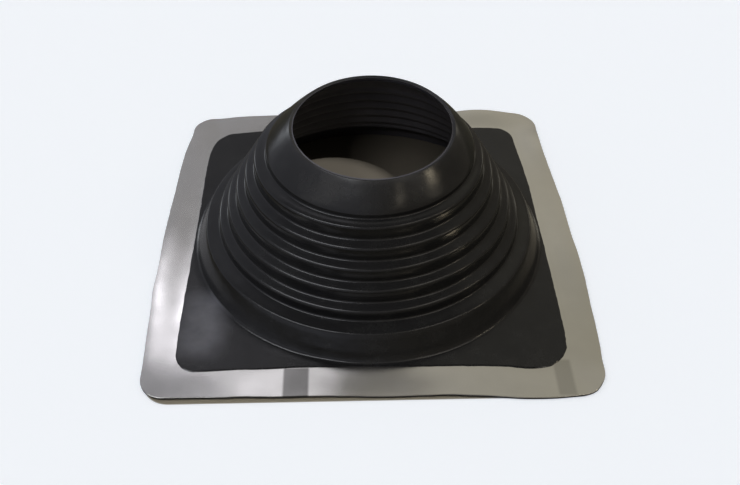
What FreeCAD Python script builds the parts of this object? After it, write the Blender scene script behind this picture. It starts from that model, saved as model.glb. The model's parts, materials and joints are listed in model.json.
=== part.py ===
"""Pipe flashing boot: a stepped rubber cone on a square base with a soft aluminium margin.

The boot seals a round pipe where it passes through a sheet roof. The installer cuts the cone
at the riser whose bore suits the pipe, stretches it over the pipe, and dresses the aluminium
margin down to the roof's profile.

Frame: +Z up, along the pipe. The origin is the centre of the underside, on the plane where the
sealing ribs meet the roof. Millimetres.

Pieces:
  rubber_boot       one EPDM moulding: lip, neck, risers and treads, skirt, pad, underlay, ribs
  aluminium_flange  one sheet frame, held in a slot round the pad and bonded to the underlay

Edges that are rounded on the moulding are single bevels here, because each of them goes round
the whole cone and there are many.
"""

import FreeCAD
import Part
import math
import os
from collections import namedtuple

# --- Mouth and neck -------------------------------------------------------------------------
WALL = 3.0  # rubber wall, the same from the neck down to the skirt
MOUTH_BORE_RADIUS = 77.0  # bore of the uncut mouth
LIP_WIDTH = 3.5  # flat ring round the mouth, before its edges are bevelled
LIP_LAND = 6.0  # depth of the bead that stiffens the mouth, from the lip's top
LIP_BEVEL = 0.8  # both upper edges of the lip and the land's lower edge
NECK_RUN = 22.0  # how far the neck flares out, from the lip down
NECK_HEIGHT = 23.5  # how far the neck drops over that run
NECK_EDGE_BEVEL = 0.8
NECK_RISER = 5.6  # short riser under the neck's lower edge

# --- Steps ----------------------------------------------------------------------------------
STEP_COUNT = 5
FIRST_STEP_RUN = 11.2  # what the first step adds to the radius
STEP_RUN = 10.2  # what each later step adds
STEP_RISE = 16.8  # what each step adds to the depth
TREAD_FALL = 3.2  # how much of that depth the tread falls, so that it sheds water
NOSING_BEVEL = 2.2

# --- Shoulder and skirt ---------------------------------------------------------------------
LAST_RISER = 10.8  # riser under the lowest regular step
SHOULDER_RUN = 14.4  # the wide tread below it
SHOULDER_FALL = 2.2
SHOULDER_BEVEL = 1.8
SKIRT_RUN = 12.6  # sloping wall from the shoulder down to the pad
SKIRT_HEIGHT = 26.3
SKIRT_FOOT_BEVEL = 2.5  # fills the hollow corner between skirt and pad

# --- Base -----------------------------------------------------------------------------------
PAD_BORDER = 1.0  # flat rubber between the skirt's foot and the pad's edge
PAD_COVER = 1.2  # rubber over the sheet
PAD_CORNER_RADIUS = 20.0
PAD_EDGE_BEVEL = 0.6
SHEET_THICKNESS = 1.0  # malleable aluminium
SHEET_MARGIN = 30.0  # width of aluminium that shows outside the pad
SHEET_LAP = 4.0  # width of aluminium held in the slot under the pad's edge
SHEET_CORNER_RADIUS = 25.0
UNDERLAY_THICKNESS = 2.0  # rubber under the sheet, out to the same edge
RIB_COUNT = 3  # sealing ribs under the underlay
RIB_HEIGHT = 1.5
RIB_WIDTH = 2.5
RIB_PITCH = 8.0
RIB_EDGE_DISTANCE = 5.0  # from the sheet's edge to the outermost rib

# --- Levels, from the roof up ---------------------------------------------------------------
UNDERLAY_Z = RIB_HEIGHT
SHEET_Z = UNDERLAY_Z + UNDERLAY_THICKNESS
PAD_Z = SHEET_Z + SHEET_THICKNESS + PAD_COVER
SHOULDER_Z = PAD_Z + SKIRT_HEIGHT
LAST_NOSING_Z = SHOULDER_Z + SHOULDER_FALL + LAST_RISER
FIRST_NOSING_Z = LAST_NOSING_Z + (STEP_COUNT - 1) * STEP_RISE
NECK_ROOT_Z = FIRST_NOSING_Z + TREAD_FALL
NECK_EDGE_Z = NECK_ROOT_Z + NECK_RISER
LIP_Z = NECK_EDGE_Z + NECK_HEIGHT

# --- Radii, from the mouth outwards, and half-widths of the square base ---------------------
LIP_RADIUS = MOUTH_BORE_RADIUS + LIP_WIDTH
NECK_RADIUS = LIP_RADIUS + NECK_RUN
FIRST_NOSING_RADIUS = NECK_RADIUS + FIRST_STEP_RUN
LAST_NOSING_RADIUS = FIRST_NOSING_RADIUS + (STEP_COUNT - 1) * STEP_RUN
SHOULDER_RADIUS = LAST_NOSING_RADIUS + SHOULDER_RUN
SKIRT_RADIUS = SHOULDER_RADIUS + SKIRT_RUN
PAD_HALF = SKIRT_RADIUS + SKIRT_FOOT_BEVEL + PAD_BORDER
SLOT_HALF = PAD_HALF - SHEET_LAP
BASE_HALF = PAD_HALF + SHEET_MARGIN

Corner = namedtuple("Corner", "r z bevel", defaults=[0.0])
ORIGIN = FreeCAD.Vector(0, 0, 0)
UP = FreeCAD.Vector(0, 0, 1)
FULL_TURN = 360
SAME_LEVEL = 1e-6


def cone_outside():
    """Corners of the cone's outer outline, from the lip down to the pad."""
    corners = [
        Corner(LIP_RADIUS, LIP_Z, LIP_BEVEL),
        Corner(NECK_RADIUS, NECK_EDGE_Z, NECK_EDGE_BEVEL),
        Corner(NECK_RADIUS, NECK_ROOT_Z),
    ]
    for step in range(STEP_COUNT):
        radius = FIRST_NOSING_RADIUS + step * STEP_RUN
        nosing_z = FIRST_NOSING_Z - step * STEP_RISE
        lowest = step == STEP_COUNT - 1
        riser = LAST_RISER if lowest else STEP_RISE - TREAD_FALL
        corners.append(Corner(radius, nosing_z, NOSING_BEVEL))
        corners.append(Corner(radius, nosing_z - riser))
    corners.append(Corner(SHOULDER_RADIUS, SHOULDER_Z, SHOULDER_BEVEL))
    corners.append(Corner(SKIRT_RADIUS, PAD_Z, SKIRT_FOOT_BEVEL))
    return corners


def crossing(p, along_p, q, along_q):
    """Where the line through p along along_p meets the line through q along along_q."""
    cross = along_p[0] * along_q[1] - along_p[1] * along_q[0]
    distance = ((q[0] - p[0]) * along_q[1] - (q[1] - p[1]) * along_q[0]) / cross
    return p[0] + distance * along_p[0], p[1] + distance * along_p[1]


def cone_inside(outside):
    """Corners of the inner outline, from the mouth's bore down to the underside.

    Below the bead it runs one wall inside the outer outline.
    """
    lines = []
    for upper, lower in zip(outside, outside[1:]):
        length = math.hypot(lower.r - upper.r, lower.z - upper.z)
        along = ((lower.r - upper.r) / length, (lower.z - upper.z) / length)
        start = (upper.r + WALL * along[1], upper.z - WALL * along[0])
        lines.append((start, along))

    level = (1, 0)
    land_z = LIP_Z - LIP_LAND
    corners = [
        Corner(MOUTH_BORE_RADIUS, LIP_Z, LIP_BEVEL),
        Corner(MOUTH_BORE_RADIUS, land_z, LIP_BEVEL),
        Corner(*crossing((0, land_z), level, *lines[0])),
    ]
    for before, after in zip(lines, lines[1:]):
        corners.append(Corner(*crossing(*before, *after)))
    corners.append(Corner(*crossing((0, UNDERLAY_Z), level, *lines[-1])))
    return corners


def turned(corners):
    """The solid that a closed ring of corners, in the XZ plane, makes about the pipe's axis."""
    points = []
    for i, corner in enumerate(corners):
        here = FreeCAD.Vector(corner.r, 0, corner.z)
        if not corner.bevel:
            points.append(here)
            continue
        for other in (corners[i - 1], corners[(i + 1) % len(corners)]):
            towards = FreeCAD.Vector(other.r, 0, other.z) - here
            points.append(here + towards.normalize() * corner.bevel)
    outline = Part.makePolygon(points + points[:1])
    return Part.Face(outline).revolve(ORIGIN, UP, FULL_TURN)


def rounded_square(half_width, corner_radius, z, height):
    """A square plate centred on the Z axis; its corners are sharp if no radius is left."""
    corner = FreeCAD.Vector(-half_width, -half_width, z)
    plate = Part.makeBox(2 * half_width, 2 * half_width, height, corner)
    if corner_radius <= 0:
        return plate
    uprights = [e for e in plate.Edges if e.BoundBox.ZLength > height / 2]
    return plate.makeFillet(corner_radius, uprights)


def make_cone(outside, inside):
    """The cone's wall, with the disc of the base round its foot."""
    disc_radius = PAD_HALF - PAD_EDGE_BEVEL
    foot = [Corner(disc_radius, PAD_Z), Corner(disc_radius, UNDERLAY_Z)]
    return turned(outside + foot + inside[::-1])


def make_hollow(inside):
    """The space under the cone, which also opens the base's plates."""
    axis = [Corner(0, UNDERLAY_Z), Corner(0, LIP_Z)]
    bore_top = Corner(MOUTH_BORE_RADIUS, LIP_Z)
    return turned(axis + [bore_top] + inside[1:])


def make_pad():
    """The square pad round the skirt's foot, with its upper edge bevelled."""
    pad = rounded_square(PAD_HALF, PAD_CORNER_RADIUS, UNDERLAY_Z, PAD_Z - UNDERLAY_Z)
    upper = [e for e in pad.Edges if e.BoundBox.ZMin > PAD_Z - SAME_LEVEL]
    return pad.makeChamfer(PAD_EDGE_BEVEL, upper)


def make_ribs():
    """Sealing ribs under the margin: square rings, one inside the other."""
    ribs = []
    for i in range(RIB_COUNT):
        outer_inset = RIB_EDGE_DISTANCE + i * RIB_PITCH
        inner_inset = outer_inset + RIB_WIDTH
        outer, inner = (
            rounded_square(BASE_HALF - inset, SHEET_CORNER_RADIUS - inset, 0, RIB_HEIGHT)
            for inset in (outer_inset, inner_inset)
        )
        ribs.append(outer.cut(inner))
    return ribs


def make_flange():
    """The aluminium sheet: a square frame with round corners inside and out."""
    inner_radius = PAD_CORNER_RADIUS - SHEET_LAP
    sheet = rounded_square(BASE_HALF, SHEET_CORNER_RADIUS, SHEET_Z, SHEET_THICKNESS)
    return sheet.cut(rounded_square(SLOT_HALF, inner_radius, SHEET_Z, SHEET_THICKNESS))


def make_boot(flange):
    """The one-piece rubber moulding, with the slot that holds the sheet."""
    outside = cone_outside()
    inside = cone_inside(outside)
    underlay = rounded_square(BASE_HALF, SHEET_CORNER_RADIUS, UNDERLAY_Z, UNDERLAY_THICKNESS)
    base = underlay.fuse(make_pad()).cut(make_hollow(inside))
    boot = base.fuse([make_cone(outside, inside)] + make_ribs()).cut(flange)
    return boot.removeSplitter()


def save(name, shape):
    """Writes one node and prints what it holds."""
    shape.exportStep(os.path.join("parts", name + ".step"))
    box = shape.optimalBoundingBox()
    size = f"{box.XLength:.1f} x {box.YLength:.1f} x {box.ZLength:.1f} mm"
    print(f"{name}: {len(shape.Solids)} solid, valid {shape.isValid()}, {size}, {shape.Volume:.0f} mm3")


def main():
    os.makedirs("parts", exist_ok=True)
    flange = make_flange()
    save("aluminium_flange", flange)
    save("rubber_boot", make_boot(flange))


main()
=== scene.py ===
"""Looks of the pipe flashing boot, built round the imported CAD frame. Metres, +Z up.

The rubber moulding and the aluminium sheet are one closed mesh each. Both are grids. The rows
follow the outline from the mouth to the edge of the base and back underneath, and every row is a
square with round corners: a circle is one whose corner radius is its half-width. The columns fan
out from the pipe's axis and are evenly spaced along the pad's edge.
"""

import json
import math

import bpy
import numpy as np
from mathutils import Matrix, Vector, noise


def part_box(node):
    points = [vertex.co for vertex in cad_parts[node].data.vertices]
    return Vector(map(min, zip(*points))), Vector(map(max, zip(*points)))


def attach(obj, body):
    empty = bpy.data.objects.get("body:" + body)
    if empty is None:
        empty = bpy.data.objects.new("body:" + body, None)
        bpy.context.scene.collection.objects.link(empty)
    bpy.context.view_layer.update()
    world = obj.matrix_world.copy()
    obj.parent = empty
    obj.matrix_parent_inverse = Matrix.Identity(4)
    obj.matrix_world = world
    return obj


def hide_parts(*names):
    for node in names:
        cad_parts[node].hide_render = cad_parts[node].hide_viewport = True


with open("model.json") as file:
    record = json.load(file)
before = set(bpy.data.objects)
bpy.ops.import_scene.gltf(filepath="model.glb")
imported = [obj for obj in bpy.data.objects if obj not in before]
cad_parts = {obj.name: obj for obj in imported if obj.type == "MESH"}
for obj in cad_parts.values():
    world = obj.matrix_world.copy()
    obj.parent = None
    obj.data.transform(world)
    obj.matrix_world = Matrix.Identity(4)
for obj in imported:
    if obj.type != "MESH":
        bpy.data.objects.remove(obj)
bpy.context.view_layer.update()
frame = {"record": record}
MM = 0.001

# --- Sizes read from the frame --------------------------------------------------------------
BOOT_LOW, BOOT_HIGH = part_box("rubber_boot")
SHEET_LOW, SHEET_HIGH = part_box("aluminium_flange")
MOUNTS = {mount["name"]: mount for mount in frame["record"]["mounts"]}
MOUTH_BORE_RADIUS = MOUNTS["mouth"]["dims"]["r_mm"] * MM
BASE_HALF = BOOT_HIGH[0]
LIP_Z = BOOT_HIGH[2]
SHEET_Z = SHEET_LOW[2]
SHEET_TOP_Z = SHEET_HIGH[2]

# --- The moulding's sizes, as in the part ---------------------------------------------------
WALL = 3.0 * MM
LIP_WIDTH = 3.5 * MM
LIP_LAND = 6.0 * MM
NECK_RUN = 22.0 * MM
NECK_HEIGHT = 23.5 * MM
NECK_RISER = 5.6 * MM
STEP_COUNT = 5
FIRST_STEP_RUN = 11.2 * MM
STEP_RUN = 10.2 * MM
STEP_RISE = 16.8 * MM
TREAD_FALL = 3.2 * MM
LAST_RISER = 10.8 * MM
SHOULDER_FALL = 2.2 * MM
SHOULDER_RUN = 14.4 * MM
SKIRT_RUN = 12.6 * MM
PAD_COVER = 1.2 * MM
PAD_CORNER_RADIUS = 20.0 * MM
SHEET_MARGIN = 30.0 * MM
SHEET_LAP = 4.0 * MM
SHEET_CORNER_RADIUS = 25.0 * MM
UNDERLAY_THICKNESS = 2.0 * MM
RIB_COUNT = 3
RIB_WIDTH = 2.5 * MM
RIB_PITCH = 8.0 * MM
RIB_EDGE_DISTANCE = 5.0 * MM

# --- Roundings that the part leaves as bevels -----------------------------------------------
LIP_ROUND = 0.7 * MM
LAND_ROUND = 2.4 * MM
NECK_EDGE_ROUND = 1.6 * MM
NOSING_ROUND = 3.0 * MM
ROOT_ROUND = 2.2 * MM
SHOULDER_ROUND = 2.6 * MM
FOOT_ROUND = 4.5 * MM
PAD_EDGE_ROUND = 0.6 * MM
INSIDE_ROUND = 5.0 * MM
SHEET_EDGE_ROUND = 0.35 * MM

COLUMNS = 380  # keeps the boot under 200,000 triangles
SHEET_COLUMNS = 720
LONGEST_ROW_GAP = 5.2 * MM

# --- Levels and widths that follow ----------------------------------------------------------
UNDERLAY_Z = SHEET_Z - UNDERLAY_THICKNESS
PAD_Z = SHEET_TOP_Z + PAD_COVER
NECK_EDGE_Z = LIP_Z - NECK_HEIGHT
NECK_ROOT_Z = NECK_EDGE_Z - NECK_RISER
FIRST_NOSING_Z = NECK_ROOT_Z - TREAD_FALL
LAST_ROOT_Z = FIRST_NOSING_Z - (STEP_COUNT - 1) * STEP_RISE - LAST_RISER
SHOULDER_Z = LAST_ROOT_Z - SHOULDER_FALL
LIP_RADIUS = MOUTH_BORE_RADIUS + LIP_WIDTH
NECK_RADIUS = LIP_RADIUS + NECK_RUN
FIRST_NOSING_RADIUS = NECK_RADIUS + FIRST_STEP_RUN
SHOULDER_RADIUS = FIRST_NOSING_RADIUS + (STEP_COUNT - 1) * STEP_RUN + SHOULDER_RUN
SKIRT_RADIUS = SHOULDER_RADIUS + SKIRT_RUN
PAD_HALF = BASE_HALF - SHEET_MARGIN
SLOT_HALF = PAD_HALF - SHEET_LAP


# --- Grid meshes ----------------------------------------------------------------------------
def reach(theta, half, corner):
    """Distance from the axis to the edge of a round-cornered square, at an angle."""
    across = abs(math.cos(theta))
    along = abs(math.sin(theta))
    longer, shorter = max(across, along), min(across, along)
    straight = half / longer
    if straight * shorter <= half - corner:
        return straight
    centre = half - corner
    toward = centre * (longer + shorter)
    return toward + math.sqrt(toward * toward - 2 * centre * centre + corner * corner)


def column_angles(count):
    """Angles whose points are evenly spaced along the pad's edge, with one on each axis."""
    fine = np.linspace(0, 2 * math.pi, 16 * count + 1)
    edge = np.array([reach(t, PAD_HALF, PAD_CORNER_RADIUS) for t in fine])
    points = np.column_stack((edge * np.cos(fine), edge * np.sin(fine)))
    steps = np.hypot(*np.diff(points, axis=0).T)
    travelled = np.concatenate(([0], np.cumsum(steps)))
    wanted = np.linspace(0, travelled[-1], count, endpoint=False)
    return np.interp(wanted, travelled, fine)


def rounded(corners, per_turn=5):
    """Points of an open outline of (half, corner, z, rounding), each corner rounded by an arc.

    Returns (half, corner, z) rows. Between arcs the outline is straight.
    """
    rows = []
    for i, (half, corner, z, rounding) in enumerate(corners):
        if not rounding or i in (0, len(corners) - 1):
            rows.append((half, corner, z))
            continue
        here = Vector((half, z))
        back = (Vector((corners[i - 1][0], corners[i - 1][2])) - here).normalized()
        ahead = (Vector((corners[i + 1][0], corners[i + 1][2])) - here).normalized()
        half_angle = back.angle(ahead) / 2
        centre = here + (back + ahead).normalized() * (rounding / math.sin(half_angle))
        start = here + back * (rounding / math.tan(half_angle)) - centre
        turn = math.pi - 2 * half_angle
        if start.x * ahead.y - start.y * ahead.x < 0:
            turn = -turn
        pieces = max(2, round(abs(turn) / math.radians(90) * per_turn))
        is_circle = corner >= half
        for k in range(pieces + 1):
            angle = turn * k / pieces
            cos, sin = math.cos(angle), math.sin(angle)
            spoke = Vector((start.x * cos - start.y * sin, start.x * sin + start.y * cos))
            point = centre + spoke
            shrunk = corner + point.x - half
            rows.append((point.x, point.x if is_circle else shrunk, point.y))
    return rows


def between(first, last, count):
    """Rows evenly spaced between two rows, without those two."""
    shares = [(k + 1) / (count + 1) for k in range(count)]
    return [tuple(a + (b - a) * s for a, b in zip(first, last)) for s in shares]


def ring(radius, z, rounding=0.0):
    """A corner of the outline on a circle."""
    return (radius, radius, z, rounding)


def square(half, corner, z, rounding=0.0):
    """A corner of the outline on a round-cornered square."""
    return (half, corner, z, rounding)


def split_long(rows, longest):
    """The same rows with more between those that lie far apart."""
    result = [rows[0]]
    for row in rows[1:]:
        last = result[-1]
        gap = math.hypot(row[0] - last[0], row[2] - last[2])
        result += between(last, row, int(gap / longest))
        result.append(row)
    return result


def grid_mesh(name, rows, columns):
    """A closed mesh from a closed loop of rows; returns the object and each vertex's row width."""
    angles = column_angles(columns)
    points = []
    for half, corner, z in rows:
        for theta in angles:
            distance = reach(theta, half, min(corner, half))
            points.append((distance * math.cos(theta), distance * math.sin(theta), z))
    count = len(rows)
    faces = []
    for j in range(count):
        below = (j + 1) % count
        for i in range(columns):
            right = (i + 1) % columns
            faces.append(
                (j * columns + i, below * columns + i, below * columns + right, j * columns + right)
            )
    mesh = bpy.data.meshes.new(name)
    mesh.from_pydata(points, [], faces)
    mesh.validate()
    widths = np.repeat([row[0] for row in rows], columns)
    piece = bpy.data.objects.new(name, mesh)
    bpy.context.scene.collection.objects.link(piece)
    return piece, widths


def read_points(piece):
    """The piece's vertices as an array of rows x, y, z."""
    flat = np.empty(3 * len(piece.data.vertices))
    piece.data.vertices.foreach_get("co", flat)
    return flat.reshape(-1, 3)


def write_points(piece, points, sharp_degrees):
    """Puts the vertices back and sets smooth shading between edges sharper than that."""
    piece.data.vertices.foreach_set("co", points.ravel())
    piece.data.update()
    piece.data.shade_smooth()
    piece.data.set_sharp_from_angle(angle=math.radians(sharp_degrees))


def rise(value, low, high):
    """Smooth 0 to 1 as value goes from low to high."""
    share = np.clip((value - low) / (high - low), 0, 1)
    return share * share * (3 - 2 * share)


def wander(points, scale, seed, depth=2):
    """Smooth noise in about -1 to 1 at each point; scale is the size of its features."""
    shift = Vector((seed * 13.7, seed * 7.3, seed * 3.1))
    return np.array(
        [noise.fractal(Vector(p) / scale + shift, 0.6, 2.0, depth) for p in points]
    )


# --- The hand-bent margin -------------------------------------------------------------------
# Each bend: side of the base, place along it and half-length of the wave, then how far the edge
# is lifted, and how far the base's edge and the pad's edge are pulled outwards.
MARGIN_BENDS = [
    ("front", -165 * MM, 25 * MM, -0.2 * MM, 0.0 * MM, 1.4 * MM),
    ("front", -60 * MM, 35 * MM, -0.3 * MM, 0.6 * MM, -1.6 * MM),
    ("front", 15 * MM, 55 * MM, -0.8 * MM, 1.8 * MM, -0.4 * MM),
    ("front", 150 * MM, 60 * MM, -0.3 * MM, 7.4 * MM, 1.0 * MM),
    ("front", 152 * MM, 24 * MM, 0.0 * MM, 0.0 * MM, 4.6 * MM),
    ("left", -185 * MM, 35 * MM, 0.4 * MM, -2.4 * MM, -1.6 * MM),
    ("left", -120 * MM, 50 * MM, 0.6 * MM, 0.0 * MM, 0.0 * MM),
    ("left", -10 * MM, 85 * MM, 1.4 * MM, 2.4 * MM, -0.6 * MM),
    ("left", -80 * MM, 20 * MM, 0.0 * MM, 1.6 * MM, 0.4 * MM),
    ("left", 185 * MM, 45 * MM, 1.2 * MM, -3.8 * MM, -2.6 * MM),
    ("right", -190 * MM, 25 * MM, 0.6 * MM, -2.6 * MM, 0.0 * MM),
    ("right", -50 * MM, 75 * MM, 1.8 * MM, 3.2 * MM, 0.0 * MM),
    ("right", 40 * MM, 32 * MM, 0.2 * MM, 1.6 * MM, 0.2 * MM),
    ("right", 150 * MM, 45 * MM, 2.0 * MM, -3.0 * MM, -4.2 * MM),
    ("back", -90 * MM, 70 * MM, 1.8 * MM, 1.0 * MM, 0.0 * MM),
    ("back", -150 * MM, 26 * MM, 0.0 * MM, 0.6 * MM, -3.0 * MM),
    ("back", 145 * MM, 50 * MM, 3.0 * MM, 6.6 * MM, 0.8 * MM),
]
SIDE_DIRECTIONS = {"front": (0, -1), "back": (0, 1), "left": (-1, 0), "right": (1, 0)}

# Blunted corners: which one, then how far the base's corner and the pad's corner are drawn in.
BLUNT_CORNERS = [
    ((1, -1), 0.0 * MM, 7.0 * MM),
    ((-1, 1), 8.0 * MM, 13.0 * MM),
    ((1, 1), 6.0 * MM, 6.0 * MM),
]
BLUNT_CENTRE = 193 * MM  # from both axes
BLUNT_SIZE = 32 * MM


def bend_margin(points, widths):
    """Lifts, pulls and frets the margin; the same for the sheet and the rubber under it."""
    x, y = points[:, 0].copy(), points[:, 1].copy()
    in_base = widths > SLOT_HALF - 1 * MM
    widest = np.maximum(abs(x), abs(y))
    at_edge = rise(widest, PAD_HALF, BASE_HALF)
    for side, place, half_length, lift, edge_pull, pad_pull in MARGIN_BENDS:
        out_x, out_y = SIDE_DIRECTIONS[side]
        outward = x * out_x + y * out_y
        along = x * abs(out_y) + y * abs(out_x)
        wave = np.exp(-(((along - place) / half_length) ** 2))
        lifted = lift * wave * rise(outward, PAD_HALF - 2 * MM, BASE_HALF)
        share = rise(outward, PAD_HALF, BASE_HALF)
        near_pad = rise(outward, PAD_HALF - 25 * MM, PAD_HALF)
        pull = pad_pull * (1 - share) * near_pad + edge_pull * share
        pull *= wave * in_base
        points += np.column_stack((out_x * pull, out_y * pull, lifted))
    for (side_x, side_y), edge_cut, pad_cut in BLUNT_CORNERS:
        away = np.hypot(x - side_x * BLUNT_CENTRE, y - side_y * BLUNT_CENTRE)
        cut = pad_cut + (edge_cut - pad_cut) * at_edge
        cut *= np.exp(-((away / BLUNT_SIZE) ** 2)) * in_base
        cut /= math.sqrt(2)
        points[:, 0] -= side_x * cut
        points[:, 1] -= side_y * cut
    flat = points * (1, 1, 0)
    share = rise(widths, PAD_HALF, BASE_HALF)
    fret = 0.5 * MM * wander(flat, 80 * MM, 3) + 0.35 * MM * wander(flat, 20 * MM, 4)
    length = np.hypot(points[:, 0], points[:, 1])
    points[:, :2] *= (1 + fret * share / length)[:, None]
    points[:, 2] = np.maximum(points[:, 2], BOOT_LOW[2])
    return points


# --- Rubber boot ----------------------------------------------------------------------------
def cone_corners():
    """Outer outline of the cone, from the lip down to the pad, as (radius, z, rounding)."""
    corners = [
        (LIP_RADIUS, LIP_Z, LIP_ROUND),
        (NECK_RADIUS, NECK_EDGE_Z, NECK_EDGE_ROUND),
        (NECK_RADIUS, NECK_ROOT_Z, ROOT_ROUND),
    ]
    for step in range(STEP_COUNT):
        radius = FIRST_NOSING_RADIUS + step * STEP_RUN
        nosing_z = FIRST_NOSING_Z - step * STEP_RISE
        lowest = step == STEP_COUNT - 1
        riser = LAST_RISER if lowest else STEP_RISE - TREAD_FALL
        corners.append((radius, nosing_z, NOSING_ROUND))
        corners.append((radius, nosing_z - riser, ROOT_ROUND))
    corners.append((SHOULDER_RADIUS, SHOULDER_Z, SHOULDER_ROUND))
    corners.append((SKIRT_RADIUS, PAD_Z, FOOT_ROUND))
    return corners


def crossing(p, along_p, q, along_q):
    """Where the line through p along along_p meets the line through q along along_q."""
    cross = along_p[0] * along_q[1] - along_p[1] * along_q[0]
    distance = ((q[0] - p[0]) * along_q[1] - (q[1] - p[1]) * along_q[0]) / cross
    return p[0] + distance * along_p[0], p[1] + distance * along_p[1]


def inside_corners(outside):
    """Inner outline of the cone, from the mouth down to the underside, one wall inside."""
    lines = []
    for (r0, z0, *_), (r1, z1, *_) in zip(outside, outside[1:]):
        length = math.hypot(r1 - r0, z1 - z0)
        along = ((r1 - r0) / length, (z1 - z0) / length)
        lines.append(((r0 + WALL * along[1], z0 - WALL * along[0]), along))
    level = (1, 0)
    land_z = LIP_Z - LIP_LAND
    corners = [
        (MOUTH_BORE_RADIUS, LIP_Z, LIP_ROUND),
        (MOUTH_BORE_RADIUS, land_z, LAND_ROUND),
        (*crossing((0, land_z), level, *lines[0]), LAND_ROUND),
    ]
    for before, after in zip(lines, lines[1:]):
        corners.append((*crossing(*before, *after), INSIDE_ROUND))
    corners.append((*crossing((0, UNDERLAY_Z), level, *lines[-1]), 0.0))
    return corners


def boot_rows():
    """All rows of the moulding, as one closed loop that starts at the hollow's lower edge."""
    outside = cone_corners()
    inside = inside_corners(outside)
    foot_hole = inside[-1][0]
    pad_top = (PAD_HALF, PAD_CORNER_RADIUS, PAD_Z)

    cone = [ring(*corner) for corner in reversed(inside)]
    cone += [ring(*corner) for corner in outside]
    cone.append(ring(PAD_HALF - PAD_EDGE_ROUND, PAD_Z))  # only points the foot's rounding outwards
    rows = split_long(rounded(cone)[:-1], LONGEST_ROW_GAP)

    inner_corner = PAD_CORNER_RADIUS - SHEET_LAP
    edge = [
        square(PAD_HALF - PAD_EDGE_ROUND, PAD_CORNER_RADIUS - PAD_EDGE_ROUND, PAD_Z),
        square(*pad_top, PAD_EDGE_ROUND),
        square(PAD_HALF, PAD_CORNER_RADIUS, SHEET_TOP_Z),
    ]
    edge_rows = rounded(edge)[1:]  # the arc already starts at the first corner
    rows += between(rows[-1], edge_rows[0], 5) + edge_rows
    rows.append((SLOT_HALF, inner_corner, SHEET_TOP_Z))
    rows.append((SLOT_HALF, inner_corner, SHEET_Z))
    rows += between(rows[-1], (BASE_HALF, SHEET_CORNER_RADIUS, SHEET_Z), 5)
    under = [
        square(BASE_HALF - 2 * MM, SHEET_CORNER_RADIUS - 2 * MM, SHEET_Z),
        square(BASE_HALF, SHEET_CORNER_RADIUS, SHEET_Z, 0.3 * MM),
        square(BASE_HALF, SHEET_CORNER_RADIUS, UNDERLAY_Z, 0.6 * MM),
    ]
    for i in range(RIB_COUNT):
        for inset, z in rib_outline(RIB_EDGE_DISTANCE + i * RIB_PITCH):
            corner = max(SHEET_CORNER_RADIUS - inset, 0.5 * MM)
            under.append(square(BASE_HALF - inset, corner, z, 0.4 * MM))
    last = under[-1]
    under.append(square(last[0] - 3 * MM, last[1], UNDERLAY_Z))
    rows += rounded(under, per_turn=2)
    rows += between(rows[-1], (foot_hole, foot_hole, UNDERLAY_Z), 5)
    return rows


def rib_outline(inset):
    """Corners of one sealing rib as (distance in from the base's edge, z)."""
    yield inset, UNDERLAY_Z
    yield inset, BOOT_LOW[2]
    yield inset + RIB_WIDTH, BOOT_LOW[2]
    yield inset + RIB_WIDTH, UNDERLAY_Z


NECK_TILT = math.radians(3.0)  # the soft neck leans forward a little
NECK_SHIFT = 3.4 * MM  # and to the right
NECK_BULGE = 0.9 * MM  # the neck is a little convex between its two edges


def bulge_neck(points):
    """Swells the neck, and the wall behind it, halfway between the lip and its lower edge."""
    radius = np.hypot(points[:, 0], points[:, 1])
    share = np.clip((LIP_Z - points[:, 2]) / NECK_HEIGHT, 0, 1)
    swell = NECK_BULGE * np.sin(math.pi * share) * rise(radius, MOUTH_BORE_RADIUS, LIP_RADIUS)
    points[:, :2] *= (1 + swell / radius)[:, None]
    return points


def lean_neck(points):
    """Tips the mouth a little, as a soft cone does: its back edge stands higher."""
    share = rise(points[:, 2], NECK_ROOT_Z - STEP_RISE, LIP_Z)
    share *= rise(-np.hypot(points[:, 0], points[:, 1]), -NECK_RADIUS - STEP_RUN, -NECK_RADIUS)
    points[:, 2] += share * points[:, 1] * math.tan(NECK_TILT)
    points[:, 0] += share * NECK_SHIFT
    return points


def fray_pad_edge(points, widths):
    """Lets the pad's moulded edge run a little unevenly over the sheet."""
    at_edge = rise(widths, PAD_HALF - 6 * MM, PAD_HALF - PAD_EDGE_ROUND)
    at_edge *= 1 - rise(widths, PAD_HALF + 1 * MM, PAD_HALF + 2 * MM)
    at_edge *= rise(points[:, 2], SHEET_TOP_Z - 0.1 * MM, SHEET_TOP_Z)
    flat = points * (1, 1, 0)
    uneven = 0.5 * MM * wander(flat, 45 * MM, 7) + 0.4 * MM * wander(flat, 7 * MM, 8, 3)
    torn = rise(points[:, 0] - points[:, 1], 290 * MM, 340 * MM)  # towards the front right corner
    uneven += 0.9 * MM * torn * wander(flat, 4 * MM, 9, 3)
    length = np.hypot(points[:, 0], points[:, 1])
    outward = points[:, :2] / length[:, None]
    points[:, :2] += outward * (uneven * at_edge)[:, None]
    return points


def make_boot():
    """The rubber moulding; faces of its hollow take the second material."""
    piece, widths = grid_mesh("rubber_boot_moulding", boot_rows(), COLUMNS)
    for face in piece.data.polygons:
        radius = math.hypot(face.center.x, face.center.y)
        inward = face.normal.x * face.center.x + face.normal.y * face.center.y < 0
        under_lip = face.center.z < LIP_Z - LIP_ROUND
        face.material_index = int(inward and radius < SKIRT_RADIUS and under_lip)
    points = read_points(piece)
    points = fray_pad_edge(points, widths)
    points = bend_margin(points, widths)
    points = lean_neck(bulge_neck(points))
    write_points(piece, points, 50)
    return piece


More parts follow.
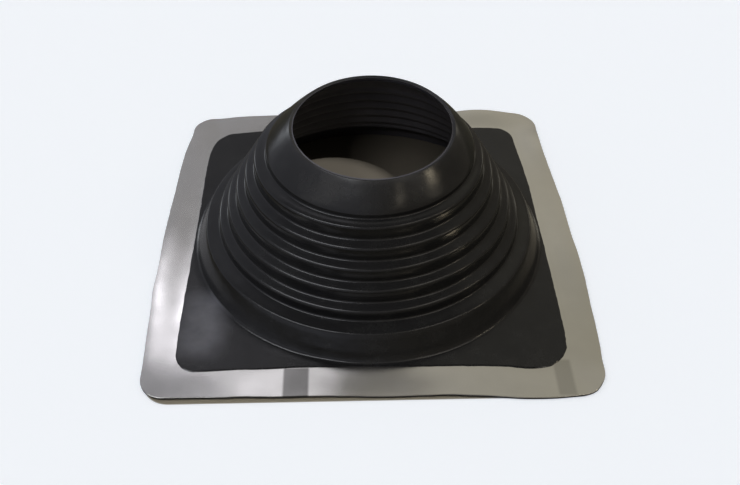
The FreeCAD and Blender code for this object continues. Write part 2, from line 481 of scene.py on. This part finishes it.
# --- Aluminium flange -----------------------------------------------------------------------
def flange_rows():
    """All rows of the sheet, as one closed loop that starts at the slot."""
    inner_corner = PAD_CORNER_RADIUS - SHEET_LAP
    top = (SLOT_HALF, inner_corner, SHEET_TOP_Z)
    outer_top = (BASE_HALF - 1.5 * MM, SHEET_CORNER_RADIUS - 1.5 * MM, SHEET_TOP_Z)
    rows = [top] + between(top, outer_top, 14)
    edge = [
        square(*outer_top),
        square(BASE_HALF, SHEET_CORNER_RADIUS, SHEET_TOP_Z, SHEET_EDGE_ROUND),
        square(BASE_HALF, SHEET_CORNER_RADIUS, SHEET_Z, SHEET_EDGE_ROUND),
        square(BASE_HALF - 1.5 * MM, SHEET_CORNER_RADIUS - 1.5 * MM, SHEET_Z),
    ]
    rows += rounded(edge, per_turn=3)
    bottom = (SLOT_HALF, inner_corner, SHEET_Z)
    rows += between(rows[-1], bottom, 5) + [bottom]
    return rows


def make_flange():
    """The soft aluminium sheet, with the waves that handling leaves in it."""
    piece, widths = grid_mesh("aluminium_sheet", flange_rows(), SHEET_COLUMNS)
    points = bend_margin(read_points(piece), widths)
    write_points(piece, points, 40)
    return piece


# --- Materials ------------------------------------------------------------------------------
def add(tree, kind, inputs=(), **settings):
    """Adds a node; inputs maps a socket's name or number to a value or to another socket."""
    node = tree.nodes.new(kind)
    for name, value in settings.items():
        setattr(node, name, value)
    for name, value in dict(inputs).items():
        if isinstance(value, bpy.types.NodeSocket):
            tree.links.new(value, node.inputs[name])
        else:
            node.inputs[name].default_value = value
    return node


def dot(tree, vector, other):
    """Dot product of a socket and a fixed vector."""
    node = add(tree, "ShaderNodeVectorMath", {0: vector, 1: other}, operation="DOT_PRODUCT")
    return node.outputs["Value"]


def smooth(tree, value, low, high):
    """Smooth 0 to 1, or 1 to 0 if low is above high, as value goes from low to high."""
    inputs = {"Value": value, "From Min": low, "From Max": high}
    node = add(tree, "ShaderNodeMapRange", inputs, interpolation_type="SMOOTHSTEP")
    return node.outputs["Result"]


def compute(tree, operation, *values):
    """A math node's result."""
    return add(tree, "ShaderNodeMath", dict(enumerate(values)), operation=operation).outputs[0]


def combine(tree, operation, first, second):
    """A vector math node's vector."""
    return add(tree, "ShaderNodeVectorMath", {0: first, 1: second}, operation=operation).outputs[0]


def scaled(tree, vector, factor):
    """A vector or colour times a number."""
    inputs = {0: vector, "Scale": factor}
    return add(tree, "ShaderNodeVectorMath", inputs, operation="SCALE").outputs[0]


def texture(tree, coordinates, scale, detail):
    """Plain noise of that scale."""
    inputs = {"Vector": coordinates, "Scale": scale, "Detail": detail}
    return add(tree, "ShaderNodeTexNoise", inputs).outputs["Fac"]


def bumped(tree, height, distance, strength, **under):
    """A normal bent by a height, over another normal if one is given."""
    inputs = {"Height": height, "Distance": distance, "Strength": strength, **under}
    return add(tree, "ShaderNodeBump", inputs).outputs[0]


def finish_material(tree, **settings):
    """Ends a material with a principled shader; settings name its sockets, with _ for a space."""
    inputs = {name.replace("_", " "): value for name, value in settings.items()}
    shader = add(tree, "ShaderNodeBsdfPrincipled", inputs)
    add(tree, "ShaderNodeOutputMaterial", {"Surface": shader.outputs[0]})


def patch_share(tree, place, centre, half_sizes, softness):
    """1 inside a soft-edged rectangle of the base plane, 0 outside it; its sizes in millimetres."""
    offset = combine(tree, "SUBTRACT", place, (centre[0] * MM, centre[1] * MM, 0))
    parts = add(tree, "ShaderNodeSeparateXYZ", {0: offset})
    shares = []
    for part, half in zip(parts.outputs, half_sizes):
        far = compute(tree, "ABSOLUTE", part)
        shares.append(smooth(tree, far, (half + softness / 2) * MM, (half - softness / 2) * MM))
    return compute(tree, "MULTIPLY", *shares)


def new_material(name):
    """A material with an empty node tree, and that tree."""
    material = bpy.data.materials.new(name)
    material.use_nodes = True
    material.node_tree.nodes.clear()
    return material, material.node_tree


def noise_between(tree, coordinates, scale, low, high, detail=3, roughness=0.55):
    """Noise of that scale, spread from low to high."""
    source = add(
        tree,
        "ShaderNodeTexNoise",
        {"Vector": coordinates, "Scale": scale, "Detail": detail, "Roughness": roughness},
    )
    inputs = {"Value": source.outputs["Fac"], "From Min": 0.3, "From Max": 0.7}
    inputs |= {"To Min": low, "To Max": high}
    return add(tree, "ShaderNodeMapRange", inputs).outputs["Result"]


def mix_colors(tree, factor, first, second):
    """A colour between two, by a factor."""
    mix = add(tree, "ShaderNodeMix", data_type="RGBA")
    tree.links.new(factor, mix.inputs["Factor"])
    sockets = [s for s in mix.inputs if s.type == "RGBA"]
    for socket, value in zip(sockets, (first, second)):
        if isinstance(value, bpy.types.NodeSocket):
            tree.links.new(value, socket)
        else:
            socket.default_value = (*value, 1)
    return [s for s in mix.outputs if s.type == "RGBA"][0]


RUBBER_IOR = 1.5
DUST = (0.045, 0.045, 0.043)

# Painted reflection, pale and cool, on the front left of the pad: place, half-sizes and softness,
# in millimetres.
PAD_PAINTED_REFLECTION = ((-164, -128), (20, 38), 30)

# Painted reflections on the sheet: darker strips in its colour, where it mirrors darker parts of
# the room. Each strip: place, half-sizes and softness of its edge, in millimetres, and how it
# changes the reflectance there (1 leaves it as it is).
SHEET_PAINTED_REFLECTIONS = [
    ((-71, -204), (11.5, 20), 3, 0.34),
    ((174, -200), (8, 20), 4, 0.76),
]


def rubber_material():
    """Black EPDM: satin, with a faint moulding texture, dust and a painted reflection on the pad.
    """
    material, tree = new_material("black_epdm")
    place = add(tree, "ShaderNodeTexCoord").outputs["Object"]
    blotches = noise_between(tree, place, 14, 0, 1)
    color = mix_colors(tree, blotches, (0.0085, 0.0085, 0.0095), (0.0140, 0.0140, 0.0145))
    dust = noise_between(tree, place, 60, -0.7, 0.8, detail=5, roughness=0.7)
    dusty = add(tree, "ShaderNodeMath", {0: dust, 1: 0.25}, operation="MULTIPLY", use_clamp=True)
    color = mix_colors(tree, dusty.outputs[0], color, DUST)
    # Painted reflection: the pad's front left is made paler and cooler in colour, where it mirrors
    # a window of light.
    bloom_and_painted_reflection = patch_share(tree, place, *PAD_PAINTED_REFLECTION)
    bloom_and_painted_reflection = compute(tree, "MULTIPLY", bloom_and_painted_reflection, noise_between(tree, place, 35, 0.6, 1.0))
    height = add(tree, "ShaderNodeSeparateXYZ", {0: place}).outputs["Z"]
    bloom_and_painted_reflection = compute(tree, "MULTIPLY", bloom_and_painted_reflection, smooth(tree, height, PAD_Z + 3 * MM, PAD_Z + 1 * MM))
    color = mix_colors(tree, bloom_and_painted_reflection, color, (0.150, 0.152, 0.172))
    gloss = noise_between(tree, place, 22, 0.17, 0.24)
    fine = bumped(tree, texture(tree, place, 900, 2), 0.05 * MM, 0.3)
    bump = bumped(tree, texture(tree, place, 55, 2), 0.8 * MM, 0.3, Normal=fine)
    finish_material(tree, Base_Color=color, Roughness=gloss, Normal=bump, IOR=RUBBER_IOR)
    return material


def core_side_material():
    """The same rubber where it lay on the mould's core: dull, with a bloom on it."""
    material, tree = new_material("black_epdm_core_side")
    place = add(tree, "ShaderNodeTexCoord").outputs["Object"]
    bloom_and_painted_reflection = noise_between(tree, place, 25, 0, 1, detail=4)
    color = mix_colors(tree, bloom_and_painted_reflection, (0.040, 0.039, 0.046), (0.058, 0.056, 0.064))
    gloss = noise_between(tree, place, 40, 0.50, 0.62)
    bump = bumped(tree, texture(tree, place, 700, 2), 0.08 * MM, 0.4)
    finish_material(tree, Base_Color=color, Roughness=gloss, Normal=bump, IOR=RUBBER_IOR)
    return material


def aluminium_material():
    """Soft mill-finish sheet: fine rolling lines, smudges, tone that varies in patches, and darker
    strips of painted reflection.
    """
    material, tree = new_material("mill_finish_aluminium")
    place = add(tree, "ShaderNodeTexCoord").outputs["Object"]
    patches = noise_between(tree, place, 9, 0, 1, detail=2)
    color = mix_colors(tree, patches, (0.78, 0.765, 0.73), (0.84, 0.825, 0.785))
    smudge = noise_between(tree, place, 40, 0, 0.6, detail=3)
    color = mix_colors(tree, smudge, color, (0.76, 0.745, 0.71))
    # Painted reflection: darker strips in the colour, where the sheet mirrors darker parts of the
    # room.
    for centre, half_sizes, softness, change in SHEET_PAINTED_REFLECTIONS:
        share = patch_share(tree, place, centre, half_sizes, softness)
        factor = compute(tree, "ADD", compute(tree, "MULTIPLY", share, change - 1), 1.0)
        color = scaled(tree, color, factor)
    gloss = noise_between(tree, place, 18, 0.10, 0.17, detail=3)
    stretched = add(tree, "ShaderNodeMapping", {"Vector": place, "Scale": (25, 2600, 2600)})
    lines = bumped(tree, texture(tree, stretched.outputs[0], 1, 3), 0.01 * MM, 0.4)
    bump = bumped(tree, texture(tree, place, 22, 1), 0.6 * MM, 0.3, Normal=lines)
    finish_material(tree, Base_Color=color, Metallic=1.0, Roughness=gloss, Normal=bump)
    return material


# --- Studio ---------------------------------------------------------------------------------
PALE = (0.879, 0.913, 0.947)  # what the camera sees round the boot
FLOOR_TINT = (0.881, 0.925, 0.985)  # glow that brings the lit floor to the same colour
# Painted contact shadow: the dark floor colour that the camera sees in a strip in front of the
# base.
PAINTED_CONTACT_SHADOW = (0.42, 0.38, 0.29)
GROUND_SHADED = (0.17, 0.16, 0.12)  # what the boot's own sides reflect of it
# Painted shade: the darker floor colour under the boot's hollow.
PAINTED_SHADE_INSIDE = (0.070, 0.062, 0.050)
FLOOR_GLOW = 0.685
FLOOR_LIT = (0.55, 0.55, 0.55, 1)
FLOOR_HALF = 6.0
# The dark floor, a painted shadow, ends inside the base's edge all round, but shows a little in
# front of it as a painted contact shadow.
SHADE_INSET = 6.0 * MM
SHADE_SHIFT = (0, 9.7 * MM, 0)


def make_floor():
    """A plain pale floor that keeps the boot's soft shadow; under the boot, and in a thin strip in
    front of the base, it turns dark brown: painted shade and a painted contact shadow.
    """
    corners = [(x * FLOOR_HALF, y * FLOOR_HALF, 0) for x, y in ((-1, -1), (1, -1), (1, 1), (-1, 1))]
    mesh = bpy.data.meshes.new("floor")
    mesh.from_pydata(corners, [], [(0, 1, 2, 3)])
    floor = bpy.data.objects.new("floor", mesh)
    bpy.context.scene.collection.objects.link(floor)
    material, tree = new_material("pale_floor")
    place = add(tree, "ShaderNodeTexCoord").outputs["Object"]
    from_axis = add(tree, "ShaderNodeVectorMath", {0: place}, operation="LENGTH").outputs["Value"]
    # Painted shade: the floor turns darker under the boot's hollow.
    hollow = smooth(tree, from_axis, SKIRT_RADIUS + 8 * MM, SKIRT_RADIUS)
    # Painted shadow: the floor is dark inside a rounded square shifted towards the front, which
    # shows only as a strip in front of the base.
    shifted = combine(tree, "ADD", place, SHADE_SHIFT)
    parts = add(tree, "ShaderNodeSeparateXYZ", {0: shifted}).outputs
    straight = BASE_HALF - SHADE_INSET - SHEET_CORNER_RADIUS
    squares = []
    for part in parts[:2]:
        past_straight = compute(tree, "SUBTRACT", compute(tree, "ABSOLUTE", part), straight)
        squares.append(compute(tree, "POWER", compute(tree, "MAXIMUM", past_straight, 0.0), 2.0))
    from_edge = compute(tree, "SQRT", compute(tree, "ADD", *squares))
    inner, outer = SHEET_CORNER_RADIUS - 0.5 * MM, SHEET_CORNER_RADIUS + 1.5 * MM
    outside = smooth(tree, from_edge, inner, outer)
    path = add(tree, "ShaderNodeLightPath")
    seen = compute(tree, "MULTIPLY", path.outputs["Is Camera Ray"], outside)
    contact_shadow_and_reflected_floor = mix_colors(tree, path.outputs["Is Camera Ray"], GROUND_SHADED, PAINTED_CONTACT_SHADOW)
    shade_and_reflected_floor_color = mix_colors(tree, hollow, contact_shadow_and_reflected_floor, PAINTED_SHADE_INSIDE)
    shade_and_reflected_floor = add(tree, "ShaderNodeBsdfDiffuse", {"Color": shade_and_reflected_floor_color})
    lit = add(tree, "ShaderNodeBsdfDiffuse", {"Color": FLOOR_LIT})
    glow = add(tree, "ShaderNodeEmission", {"Color": (*FLOOR_TINT, 1), "Strength": FLOOR_GLOW})
    pale = add(tree, "ShaderNodeAddShader", {0: lit.outputs[0], 1: glow.outputs[0]})
    mix = add(tree, "ShaderNodeMixShader", {0: seen, 1: shade_and_reflected_floor.outputs[0], 2: pale.outputs[0]})
    add(tree, "ShaderNodeOutputMaterial", {"Surface": mix.outputs[0]})
    mesh.materials.append(material)


# Where the light comes from, as seen from the boot. Azimuth is from +Y towards +X, and windows
# are (azimuth, elevation, half-width, half-height, softness of the edge) in degrees.
DOME_LEFT = (0.33, 0.335, 0.37)
DOME_RIGHT = (0.20, 0.18, 0.145)
WINDOWS = [
    ((-15.2, 48, 1.5, 1.4, 1.2), (1.05, 1.03, 1.14)),
    ((-14.4, 47.2, 1.3, 1.2, 1.4), (1.45, 1.44, 1.60)),
    ((-7.9, 53, 3.5, 2.8, 1.4), (0.84, 0.83, 0.90)),
    ((-12.6, 45, 2.6, 1.5, 1.0), (0.70, 0.69, 0.76)),
    ((-26, 48.5, 7, 5, 5), (0.16, 0.16, 0.18)),
    ((20, 43, 13, 12, 8), (0.155, 0.15, 0.115)),
    ((17, 54.5, 7, 3.5, 4), (0.13, 0.125, 0.115)),
    ((-42, 12, 5, 8, 7), (1.80, 1.90, 2.00)),
    ((42, 12, 5, 8, 7), (1.00, 0.95, 0.80)),
    ((-125, 64, 13, 6, 6), (4.60, 4.70, 4.90)),
    ((180, 62, 60, 5, 8), (0.40, 0.385, 0.36)),
    ((-95, 56, 8, 5, 6), (4.00, 4.10, 4.30)),
    ((115, 63, 12, 6, 6), (1.60, 1.50, 1.35)),
    ((65, 55, 20, 8, 10), (0.15, 0.145, 0.13)),
    ((-130, 2, 35, 9, 10), (0.16, 0.17, 0.20)),
    ((104, 36.5, 2.6, 2.4, 2.5), (12.0, 10.4, 7.6)),
    ((146, 45.5, 2.6, 1.6, 2.5), (2.8, 2.5, 2.0)),
]
ZENITH_SHADE = ((10, 82), 18, 46, 0.65)  # direction, inner and outer half-angles, how much


def direction(azimuth, elevation):
    """Unit vector of a direction given in degrees."""
    az, el = math.radians(azimuth), math.radians(elevation)
    return Vector((math.sin(az) * math.cos(el), math.cos(az) * math.cos(el), math.sin(el)))


def window_share(tree, ray, place):
    """1 where a ray looks into a window of light, 0 outside it."""
    azimuth, elevation, half_width, half_height, softness = place
    ahead = direction(azimuth, elevation)
    across = direction(azimuth + 90, 0)
    above = direction(azimuth, elevation + 90)
    depth = compute(tree, "MAXIMUM", dot(tree, ray, ahead), 0.02)
    share = smooth(tree, dot(tree, ray, ahead), 0.02, 0.2)
    for axis, half in ((across, half_width), (above, half_height)):
        offset = compute(tree, "ABSOLUTE", compute(tree, "DIVIDE", dot(tree, ray, axis), depth))
        outer = math.tan(math.radians(min(half + softness / 2, 85)))
        inner = math.tan(math.radians(max(half - softness / 2, 0)))
        share = compute(tree, "MULTIPLY", share, smooth(tree, offset, outer, inner))
    return share


def make_world():
    """A dim room with small windows of light, which the camera sees as plain pale."""
    world = bpy.data.worlds.new("studio")
    bpy.context.scene.world = world
    world.use_nodes = True
    tree = world.node_tree
    tree.nodes.clear()
    ray = add(tree, "ShaderNodeTexCoord").outputs["Generated"]
    rightness = smooth(tree, dot(tree, ray, (1, 0, 0)), -0.45, 0.45)
    total = mix_colors(tree, rightness, DOME_LEFT, DOME_RIGHT)
    (azimuth, elevation), inner, outer, amount = ZENITH_SHADE
    closeness = dot(tree, ray, direction(azimuth, elevation))
    cosines = (math.cos(math.radians(angle)) for angle in (outer, inner))
    shade = compute(tree, "MULTIPLY", smooth(tree, closeness, *cosines), -amount)
    shade = compute(tree, "ADD", shade, 1.0)
    total = scaled(tree, total, shade)
    for place, color in WINDOWS:
        light = scaled(tree, color, window_share(tree, ray, place))
        total = combine(tree, "ADD", total, light)
    path = add(tree, "ShaderNodeLightPath")
    seen = add(tree, "ShaderNodeBackground", {"Color": (*PALE, 1), "Strength": 1.0})
    felt = add(tree, "ShaderNodeBackground", {"Color": total, "Strength": 1.0})
    shaders = {0: path.outputs["Is Camera Ray"], 1: felt.outputs[0], 2: seen.outputs[0]}
    mix = add(tree, "ShaderNodeMixShader", shaders)
    add(tree, "ShaderNodeOutputWorld", {"Surface": mix.outputs[0]})


# Lamps that shine into the mouth: name, azimuth, elevation, power in watts, size, and the radius
# and centre of the disc of light at the mouth.
LAMPS = [
    ("lamp_on_pool", 141, 66, 160.0, 0.01, LIP_RADIUS, (0, 0)),
    ("lamp_from_front", -157, 43, 45.0, 0.04, 48 * MM, (-12 * MM, -26 * MM)),
]
LAMP_DISTANCE = 1.5
LAMP_BLEND = 0.3


def make_lamps():
    """Two narrow lamps through the mouth, which light the ground inside as in the photograph."""
    for name, azimuth, elevation, power, size, disc_radius, disc_centre in LAMPS:
        lamp = bpy.data.lights.new(name, "SPOT")
        lamp.energy = power
        lamp.shadow_soft_size = size
        lamp.spot_size = 2 * math.atan(disc_radius / LAMP_DISTANCE)
        lamp.spot_blend = LAMP_BLEND
        holder = bpy.data.objects.new(name, lamp)
        toward = direction(azimuth, elevation)
        holder.matrix_world = (
            Matrix.Translation(Vector((*disc_centre, LIP_Z)) + toward * LAMP_DISTANCE)
            @ toward.to_track_quat("Z", "Y").to_matrix().to_4x4()
        )
        holder.visible_glossy = False  # no glints of the lamps on the neck
        bpy.context.scene.collection.objects.link(holder)


# --- Camera ---------------------------------------------------------------------------------
CAMERA_PLACE = (-20.7 * MM, -695.2 * MM, 641.5 * MM)
CAMERA_AZIMUTH = math.radians(1.86)
CAMERA_DOWN = math.radians(43.19)
CAMERA_ROLL = math.radians(-0.405)
CAMERA_LENS = 42.73  # on the default 36 mm sensor


def make_camera():
    """The camera at the photograph's viewing angle."""
    data = bpy.data.cameras.new("camera")
    data.lens = CAMERA_LENS
    data.clip_start = 0.01
    camera = bpy.data.objects.new("camera", data)
    turn = Matrix.Rotation(-CAMERA_AZIMUTH, 4, "Z")
    tip = Matrix.Rotation(math.radians(90) - CAMERA_DOWN, 4, "X")
    roll = Matrix.Rotation(-CAMERA_ROLL, 4, "Z")
    camera.matrix_world = Matrix.Translation(CAMERA_PLACE) @ turn @ tip @ roll
    bpy.context.scene.collection.objects.link(camera)
    bpy.context.scene.camera = camera


# --- Assembly -------------------------------------------------------------------------------
def dress(piece, materials, node):
    """Gives a piece its materials, hangs it under the root body and hides the CAD node it stands in
    for.
    """
    for material in materials:
        piece.data.materials.append(material)
    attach(piece, "root")
    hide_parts(node)


make_camera()
make_world()
make_floor()
make_lamps()
rubber = [rubber_material(), core_side_material()]
dress(make_boot(), rubber, "rubber_boot")
dress(make_flange(), [aluminium_material()], "aluminium_flange")
bpy.context.scene.view_settings.view_transform = "Standard"
